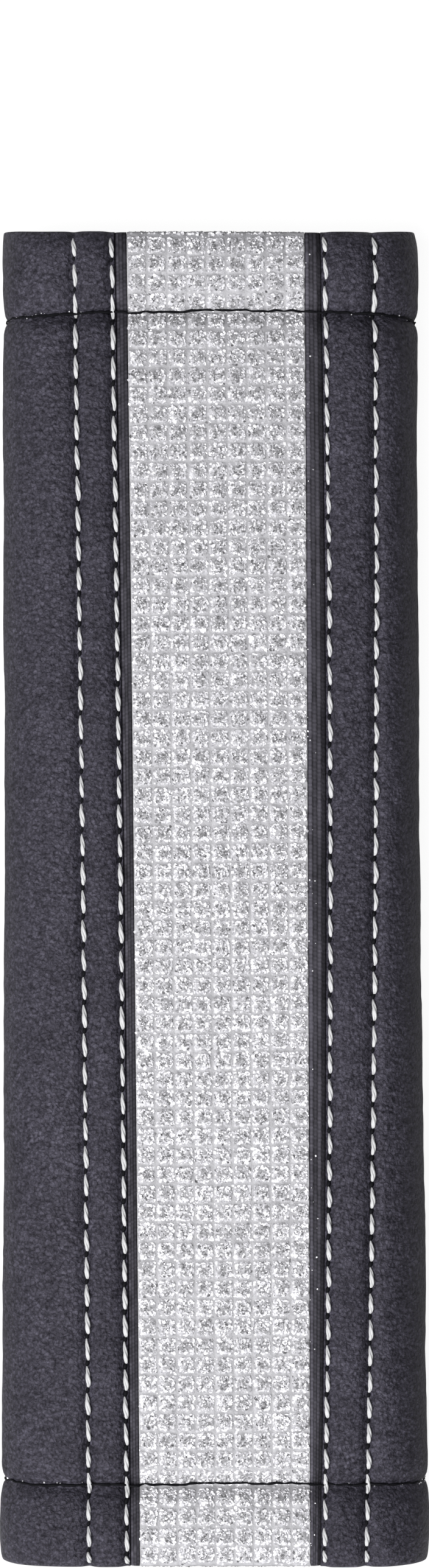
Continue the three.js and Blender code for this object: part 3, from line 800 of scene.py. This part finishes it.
def stitching(name, row, material):
    """Each stitch as three twisted plies between two needle holes."""
    rng = np.random.default_rng(len(name) * 7)
    plies = []
    t = np.linspace(-1, 1, STITCH_STEPS)
    down = (1 - t) / 2
    body = np.maximum(down, 0) ** 0.95 * np.maximum(1 - down, 0) ** 0.65
    body /= body.max()
    for upper, lower in zip(row.holes, row.holes[1:]):
        length = upper - lower
        if length < SHORTEST_STITCH:
            continue
        span = length / 2 * rng.uniform(0.79, 0.87)
        middle = (upper + lower) / 2 + rng.uniform(-0.08, 0.08)
        thick = rng.uniform(0.9, 1.1)
        lean = row.slant + rng.uniform(-0.07, 0.07)
        bulge = row.bulge + rng.uniform(-0.06, 0.06)
        y = middle + span * t
        girth = row.girth(y) + row.side.sign * (lean * -t + bulge * body)
        lift = STITCH_RISE * thick * body**0.8 - STITCH_SINK
        centre = skin_point(row.side, y, girth, lift)
        radius = PLY_RADIUS * thick * (0.2 + 0.8 * body**0.85)
        twist = rng.uniform(0, 2 * math.pi) + PLY_TWIST * t
        for ply in range(PLIES):
            turn = twist + ply * 2 * math.pi / PLIES
            offset = PLY_SPREAD * thick * body**0.8
            path = centre.copy()
            path[:, 0] += offset * np.cos(turn)
            path[:, 2] += offset * np.sin(turn) * 0.85
            plies.append(tube(path, radius))
    return join_tubes(name, plies, material)


def needle_hole_shade(name, rows, material):
    """Painted shade in the mouth of each needle hole, as a black slanted flat lens in its dimple."""
    lenses = []
    for row in rows:
        for y in row.holes[1:-1]:
            if abs(y) > HALF_LENGTH - SHORTEST_STITCH:
                continue
            span = np.linspace(-NEEDLE_HOLE_HALF, NEEDLE_HOLE_HALF, 7)
            ys = y + span
            girth = row.girth(ys) + row.side.sign * 0.35 * span
            centre = skin_point(row.side, ys, girth, -0.27)
            swell = (1 - (span / 0.62) ** 2) ** 0.7
            lenses.append(tube(centre, NEEDLE_HOLE_RADIUS * swell + 0.02, 6))
    return join_tubes(name, lenses, material)


def end_seam(name, end, material):
    """Black thread of a cross seam, as a run of stitches in the seam's dent."""
    runs = []
    for side in (LEFT, RIGHT):
        limit = float(fold_girth(side, np.array(end * SEAM_Y), math.pi * 0.88))
        share = np.linspace(-1, 1, 14)
        fullness = 1 - share**4
        band = np.full(len(share), 3.0 * side.sign)
        for start in np.arange(0.0, limit, SEAM_STITCH_PITCH):
            girth = np.linspace(start, min(start + SEAM_STITCH_LENGTH, limit), len(share))
            wander = 0.16 * noise(girth / 1.3, band, 81) + 0.14 * noise(girth / 6, band, 82)
            y = seam_line(end, girth) + wander
            on_strip = girth < along(side.strip, y)
            over = np.where(on_strip, STRIP_DEPTH - 0.2, 0.12)
            skin = skin_press(side, y, girth) - row_dent(side, y, girth) * 0.8 + over
            at_fold = 1 - hold_towards_fold(side, y, girth, 0)
            lift = (0.05 + 0.12 * fullness) * (1 - 0.9 * at_fold)
            path = section(side, y, girth, skin - lift)
            thick = np.where(on_strip, 0.13, 0.17) + 0.05 * noise(girth / 0.9, band, 83)
            runs.append(tube(path, (thick + 0.05 * fullness) * (1 - 0.35 * at_fold)))
    return join_tubes(name, runs, material)


def lining_piece(name, material):
    """One cloth from the outer flap up its ramp, round the channel and over the inner flap."""
    end = HALF_LENGTH - CLEAR
    y = np.linspace(end, -end, LINING_ROWS)
    turns = np.linspace(0, 1, LINING_FOLD_COLUMNS)

    def skin(flap_depth, depth):
        parts = [on_back(RIGHT, y, np.array([[-FLAP_EDGE, 0, RAMP_TOP]]), np.array([[flap_depth]]))]
        parts.append(on_back(RIGHT, y, np.array([[RAMP_FOOT]]), np.array([[depth]])))
        for side, order in ((RIGHT, turns[::-1]), (LEFT, turns)):
            girth = fold_girth(side, y[:, None], order[None, :] * math.pi)
            parts.append(section(side, y[:, None], girth, depth))
        parts.append(on_back(LEFT, y, np.array([[RAMP_FOOT, RAMP_TOP, 0, -FLAP_EDGE]]), np.array([[depth]])))
        return np.concatenate(parts, axis=1)

    outer = skin(FLAP_LINING_DEPTH, FOAM_INNER + CLEAR)
    inner = skin(FLAP_LINING_DEPTH + LINING, FOAM_INNER + CLEAR + LINING)
    obj = loft(name, np.concatenate([outer, inner[:, ::-1]], axis=1), material, sharp=40)
    width = np.linalg.norm(np.diff(outer[len(y) // 2], axis=0), axis=-1).sum()
    return obj, (float(width) * MM, 2 * end * MM)


def closure_stitches(name, x, z, material):
    """A line of small black stitches along a closure tape."""
    runs = []
    share = np.linspace(-1, 1, 7)
    radius = CLOSURE_THREAD_RADIUS * (0.55 + 0.45 * (1 - share**4))
    for k in range(int(CLOSURE_LENGTH / CLOSURE_STITCH_PITCH)):
        middle = -CLOSURE_LENGTH / 2 + CLOSURE_STITCH_PITCH * (k + 0.5)
        y = middle + CLOSURE_STITCH_HALF * share
        path = np.stack([np.full(7, x), y, np.full(7, z)], axis=-1)
        runs.append(tube(path, radius))
    return join_tubes(name, runs, material)


# Materials

# A wave texture of scale 1 has this many bands to a unit of length
WAVES_PER_UNIT = 3.18


class Shader:
    """A small helper round one material's node tree."""

    def __init__(self, name, colour, roughness, **sockets):
        self.material = bpy.data.materials.new(name)
        self.material.use_nodes = True
        self.nodes = self.material.node_tree.nodes
        self.links = self.material.node_tree.links
        self.surface = self.nodes["Principled BSDF"]
        self.surface.inputs["Base Color"].default_value = (*colour, 1)
        self.surface.inputs["Roughness"].default_value = roughness
        for socket, value in sockets.items():
            self.surface.inputs[socket.replace("_", " ")].default_value = value
        self.coordinates = self.nodes.new("ShaderNodeTexCoord").outputs["Object"]

    def stretched(self, scale, turn=0.0):
        mapping = self.nodes.new("ShaderNodeMapping")
        mapping.inputs["Scale"].default_value = scale
        mapping.inputs["Rotation"].default_value = (0, 0, turn)
        self.links.new(self.coordinates, mapping.inputs["Vector"])
        return mapping.outputs["Vector"]

    def noise(self, size, detail=3, stretch=(1, 1, 1), turn=0.0):
        """Noise whose features are about size millimetres wide."""
        node = self.nodes.new("ShaderNodeTexNoise")
        node.inputs["Scale"].default_value = 1 / (size * MM)
        node.inputs["Detail"].default_value = detail
        self.links.new(self.stretched(stretch, turn), node.inputs["Vector"])
        return node.outputs["Fac"]

    def cells(self, size, stretch=(1, 1, 1), turn=0.0):
        node = self.nodes.new("ShaderNodeTexVoronoi")
        node.inputs["Scale"].default_value = 1 / (size * MM)
        self.links.new(self.stretched(stretch, turn), node.inputs["Vector"])
        return node.outputs["Distance"]

    def grain_lines(self, size, reach):
        """Distance to the edge of uneven cells, whose outlines are shifted by up to reach millimetres."""
        shift = self.nodes.new("ShaderNodeTexNoise")
        shift.inputs["Scale"].default_value = 1 / (0.8 * size * MM)
        shift.inputs["Detail"].default_value = 2
        self.links.new(self.coordinates, shift.inputs["Vector"])
        place = self.nodes.new("ShaderNodeVectorMath")
        place.operation = "MULTIPLY_ADD"
        self.links.new(shift.outputs["Color"], place.inputs[0])
        place.inputs[1].default_value = (reach * MM, reach * MM, reach * MM)
        self.links.new(self.coordinates, place.inputs[2])
        node = self.nodes.new("ShaderNodeTexVoronoi")
        node.feature = "DISTANCE_TO_EDGE"
        node.inputs["Scale"].default_value = 1 / (size * MM)
        self.links.new(place.outputs["Vector"], node.inputs["Vector"])
        return node.outputs["Distance"]

    def wave(self, pitch, direction):
        node = self.nodes.new("ShaderNodeTexWave")
        node.bands_direction = direction
        node.inputs["Scale"].default_value = 1 / (pitch * MM * WAVES_PER_UNIT)
        self.links.new(self.coordinates, node.inputs["Vector"])
        return node.outputs["Fac"]

    def math(self, operation, a, b):
        node = self.nodes.new("ShaderNodeMath")
        node.operation = operation
        for socket, value in zip(node.inputs, (a, b)):
            if isinstance(value, (int, float)):
                socket.default_value = value
            else:
                self.links.new(value, socket)
        return node.outputs[0]

    def between(self, value, low, high, low_to, high_to):
        node = self.nodes.new("ShaderNodeMapRange")
        for socket, number in zip(("From Min", "From Max", "To Min", "To Max"), (low, high, low_to, high_to)):
            node.inputs[socket].default_value = number
        self.links.new(value, node.inputs["Value"])
        return node.outputs[0]

    def bump(self, height, depth):
        """Adds a bump whose full height is depth millimetres."""
        node = self.nodes.new("ShaderNodeBump")
        node.inputs["Distance"].default_value = depth * MM
        self.links.new(height, node.inputs["Height"])
        before = self.surface.inputs["Normal"]
        if before.is_linked:
            self.links.new(before.links[0].from_socket, node.inputs["Normal"])
        self.links.new(node.outputs["Normal"], before)

    def tint(self, factor, colour):
        """The base colour times a factor."""
        node = self.nodes.new("ShaderNodeMix")
        node.data_type = "RGBA"
        node.blend_type = "MULTIPLY"
        node.inputs["Factor"].default_value = 1.0
        node.inputs["A"].default_value = (*colour, 1)
        self.links.new(factor, node.inputs["B"])
        self.links.new(node.outputs["Result"], self.surface.inputs["Base Color"])

    def shade(self):
        node = self.nodes.new("ShaderNodeVertexColor")
        node.layer_name = "shade"
        return node.outputs["Color"]


def leatherette():
    colour = (0.0565, 0.0535, 0.0705)
    s = Shader("leatherette", colour, 0.5, Specular_IOR_Level=0.14, Specular_Tint=(0.92, 0.86, 1.0, 1))
    pebble = s.cells(0.62, stretch=(1, 0.8, 1), turn=0.5)
    lines = s.grain_lines(0.8, 0.8)
    crease = s.noise(1.4, 4, stretch=(1, 2.4, 1), turn=0.7)
    s.bump(crease, 0.2)
    s.bump(s.noise(0.8, 3), 0.12)
    s.bump(s.between(lines, 0.0, 0.2, 0.0, 1.0), 0.05)
    s.bump(pebble, 0.14)
    s.bump(s.noise(0.22, 2), 0.03)
    grain = s.between(s.noise(0.5, 4), 0.3, 0.7, 0.48, 1.5)
    mottle = s.between(s.noise(1.2, 3, stretch=(1, 1.5, 1), turn=0.6), 0.32, 0.68, 0.6, 1.4)
    blotch = s.between(s.noise(8, 3), 0.3, 0.7, 0.86, 1.14)
    # Darker in the grain's crevices: partly the grain's own tone, partly painted shade there
    dark = s.between(lines, 0.0, 0.2, 0.58, 1.0)
    fine = s.math("MULTIPLY", grain, dark)
    s.tint(s.math("MULTIPLY", fine, s.math("MULTIPLY", mottle, blotch)), colour)
    return s.material


GLITTER_COLOUR = (1.0, 0.99, 1.04)


def glitter_cloth():
    s = Shader("glitter_cloth", (0.6, 0.6, 0.63), 0.45, Specular_IOR_Level=0.5)
    s.tint(s.shade(), GLITTER_COLOUR)
    s.bump(s.noise(0.25, 2), 0.05)
    return s.material


def glitter_flake():
    s = Shader("glitter_flake", (0.7, 0.7, 0.72), 0.35, Metallic=0.25, Specular_IOR_Level=0.6)
    s.tint(s.shade(), GLITTER_COLOUR)
    s.bump(s.noise(0.2, 1), 0.01)
    return s.material


def woven_tape():
    s = Shader("woven_tape", (0.06, 0.059, 0.066), 0.8, Specular_IOR_Level=0.15)
    s.tint(s.shade(), (0.086, 0.0815, 0.1))
    s.bump(s.noise(0.3, 3, stretch=(1, 0.5, 1)), 0.12)
    return s.material


def thread(name, colour, roughness, gloss=0.3):
    s = Shader(name, colour, roughness, Specular_IOR_Level=gloss)
    s.bump(s.noise(0.12, 2, stretch=(1, 0.25, 1), turn=0.35), 0.02)
    grain = s.between(s.noise(0.25, 3, stretch=(1, 0.4, 1)), 0.3, 0.7, 0.9, 1.05)
    s.tint(grain, colour)
    return s.material


def lining_cloth():
    colour = (0.014, 0.014, 0.016)
    s = Shader("lining", colour, 0.9, Sheen_Weight=0.15, Specular_IOR_Level=0.2)
    weave = s.math("ADD", s.wave(0.5, "X"), s.wave(0.5, "Y"))
    s.bump(weave, 0.06)
    s.tint(s.between(s.noise(0.5, 3), 0.3, 0.7, 0.85, 1.12), colour)
    return s.material


def foam():
    colour = (0.05, 0.05, 0.052)
    s = Shader("foam", colour, 0.95, Specular_IOR_Level=0.1)
    s.bump(s.cells(0.4), 0.15)
    s.tint(s.between(s.noise(0.5, 3), 0.3, 0.7, 0.8, 1.15), colour)
    return s.material


def hook_or_loop(name, size, colour):
    s = Shader(name, colour, 0.85, Specular_IOR_Level=0.2)
    s.bump(s.cells(size), 0.2)
    s.tint(s.between(s.noise(size, 2), 0.3, 0.7, 0.8, 1.15), colour)
    return s.material


# The pieces

leather = leatherette()
black_thread = thread("black_thread", (0.006, 0.006, 0.008), 0.7, 0.12)
white_thread = thread("white_thread", (0.7, 0.7, 0.71), 0.55)
tape_material = woven_tape()
flake_material = glitter_flake()

left_cover = cover_panel("left_cover", LEFT, leather)
right_cover = cover_panel("right_cover", RIGHT, leather)
left_tape = tape_piece("left_tape", LEFT, (0.65, 0.8, 1.3), tape_material)
right_tape = tape_piece("right_tape", RIGHT, (1.5, 0.8, 1.0, 0.5), tape_material)
cloth_base = glitter_base(glitter_cloth())
flakes = [glitter_flakes(f"glitter_flakes_{seed}", flake_material, FLAKE_TRIES, seed) for seed in (5, 6)]
flakes.append(stray_flakes("stray_flakes", flake_material, 7))
flakes.append(end_flakes("top_end_flakes", 1, flake_material, 8))
flakes.append(end_flakes("bottom_end_flakes", -1, flake_material, 9))
lining, lining_cut = lining_piece("channel_lining", lining_cloth())
# The needle holes' dark mouths are painted shade: black lenses made in the black thread's material
holes = needle_hole_shade("needle_hole_shade", list(ROWS.values()), black_thread)

made = [
    (left_cover, "leatherette", ["left_cover_panel"]),
    (right_cover, "leatherette", ["right_cover_panel"]),
    (left_tape, "woven_tape", ["left_trim_tape"]),
    (right_tape, "woven_tape", ["right_trim_tape"]),
    (cloth_base, "glitter_cloth", ["glitter_strip"]),
    *[(piece, "glitter_cloth", []) for piece in flakes],
    (lining, "lining", ["inner_lining"]),
    (holes, "black_thread", []),
]

for node, row in ROWS.items():
    made.append((stitching("thread_" + node, row, white_thread), "white_thread", [node]))

for node, end in (("top_end_stitching", 1), ("bottom_end_stitching", -1)):
    made.append((end_seam("thread_" + node, end, black_thread), "black_thread", [node]))

hook_thread_z = CLOSURE_THREAD_RADIUS + HOOK_THREAD_LIFT
loop_thread_z = FOAM_INNER + CLEAR + LINING + LOOP_THREAD_LIFT + CLOSURE_THREAD_RADIUS
for tape, z in (("hook", hook_thread_z), ("loop", loop_thread_z)):
    for label, sign in (("left", -1), ("right", 1)):
        node = f"{tape}_strip_stitching_{label}"
        line = closure_stitches("thread_" + node, sign * CLOSURE_THREAD_X, z, black_thread)
        made.append((line, "black_thread", [node]))

for obj, slot, nodes in made:
    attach(obj, "root")
    if nodes:
        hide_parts(*nodes)

kept = {
    "foam_core": ("foam", foam()),
    "hook_strip": ("hook_tape", hook_or_loop("hook_tape", 0.5, (0.012, 0.012, 0.013))),
    "loop_strip": ("loop_tape", hook_or_loop("loop_tape", 0.8, (0.014, 0.014, 0.015))),
}
for node, (slot, material) in kept.items():
    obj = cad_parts[node]
    obj.data.materials.clear()
    obj.data.materials.append(material)


# The floor and the light, in metres and watts

FLOOR_HALF = 12.0
FLOOR_Z = -0.0001
FLOOR_GREY = 0.16
FLOOR_SEEN = 0.93
DIMMING_REACH = 0.05
DIMMING_POWER = 4.0
LAMP_SIZE = 0.5
LAMP_AIM_HEIGHT = 0.015
WORLD_STRENGTH = 0.05


def floor():
    mesh = bpy.data.meshes.new("floor")
    corners = [(FLOOR_HALF * x, FLOOR_HALF * y, FLOOR_Z) for x, y in ((-1, -1), (1, -1), (1, 1), (-1, 1))]
    mesh.from_pydata(corners, [], [(0, 1, 2, 3)])
    material = bpy.data.materials.new("floor")
    material.use_nodes = True
    nodes, links = material.node_tree.nodes, material.node_tree.links
    surface = nodes["Principled BSDF"]
    surface.inputs["Base Color"].default_value = (FLOOR_GREY, FLOOR_GREY, FLOOR_GREY, 1)
    surface.inputs["Roughness"].default_value = 0.9
    surface.inputs["Specular IOR Level"].default_value = 0.0
    surface.inputs["Emission Color"].default_value = (1, 1, 1, 1)
    path = nodes.new("ShaderNodeLightPath")
    nearby = nodes.new("ShaderNodeAmbientOcclusion")
    nearby.inputs["Distance"].default_value = DIMMING_REACH

    def combine(operation, a, b):
        node = nodes.new("ShaderNodeMath")
        node.operation = operation
        for socket, value in zip(node.inputs, (a, b)):
            if isinstance(value, float):
                socket.default_value = value
            else:
                links.new(value, socket)
        return node.outputs[0]

    # Reflections show the white floor too, dimmed where the pad stands over it
    mirrored = combine("MAXIMUM", path.outputs["Is Glossy Ray"], path.outputs["Is Transmission Ray"])
    shaded = combine("POWER", nearby.outputs["AO"], DIMMING_POWER)
    seen = combine("MAXIMUM", path.outputs["Is Camera Ray"], combine("MULTIPLY", mirrored, shaded))
    links.new(combine("MULTIPLY", seen, FLOOR_SEEN), surface.inputs["Emission Strength"])
    mesh.materials.append(material)
    obj = bpy.data.objects.new("floor", mesh)
    bpy.context.collection.objects.link(obj)


def lamp(name, place, watts):
    """A soft square lamp that faces the pad."""
    light = bpy.data.lights.new(name, "AREA")
    light.energy = watts
    light.size = LAMP_SIZE
    obj = bpy.data.objects.new(name, light)
    obj.location = place
    direction = obj.location.copy()
    direction.z -= LAMP_AIM_HEIGHT
    obj.rotation_euler = direction.to_track_quat("Z", "Y").to_euler()
    bpy.context.collection.objects.link(obj)


floor()
lamp("overhead", (-0.22, -0.2, 1.0), 6.8)
lamp("left", (-0.85, -0.1, 1.0), 8.0)
lamp("front", (-0.25, -1.9, 0.85), 20.0)

world = bpy.data.worlds.new("world")
world.use_nodes = True
background = world.node_tree.nodes["Background"]
background.inputs["Color"].default_value = (0.95, 0.96, 1.0, 1)
background.inputs["Strength"].default_value = WORLD_STRENGTH
bpy.context.scene.world = world
bpy.context.scene.view_settings.view_transform = "Standard"
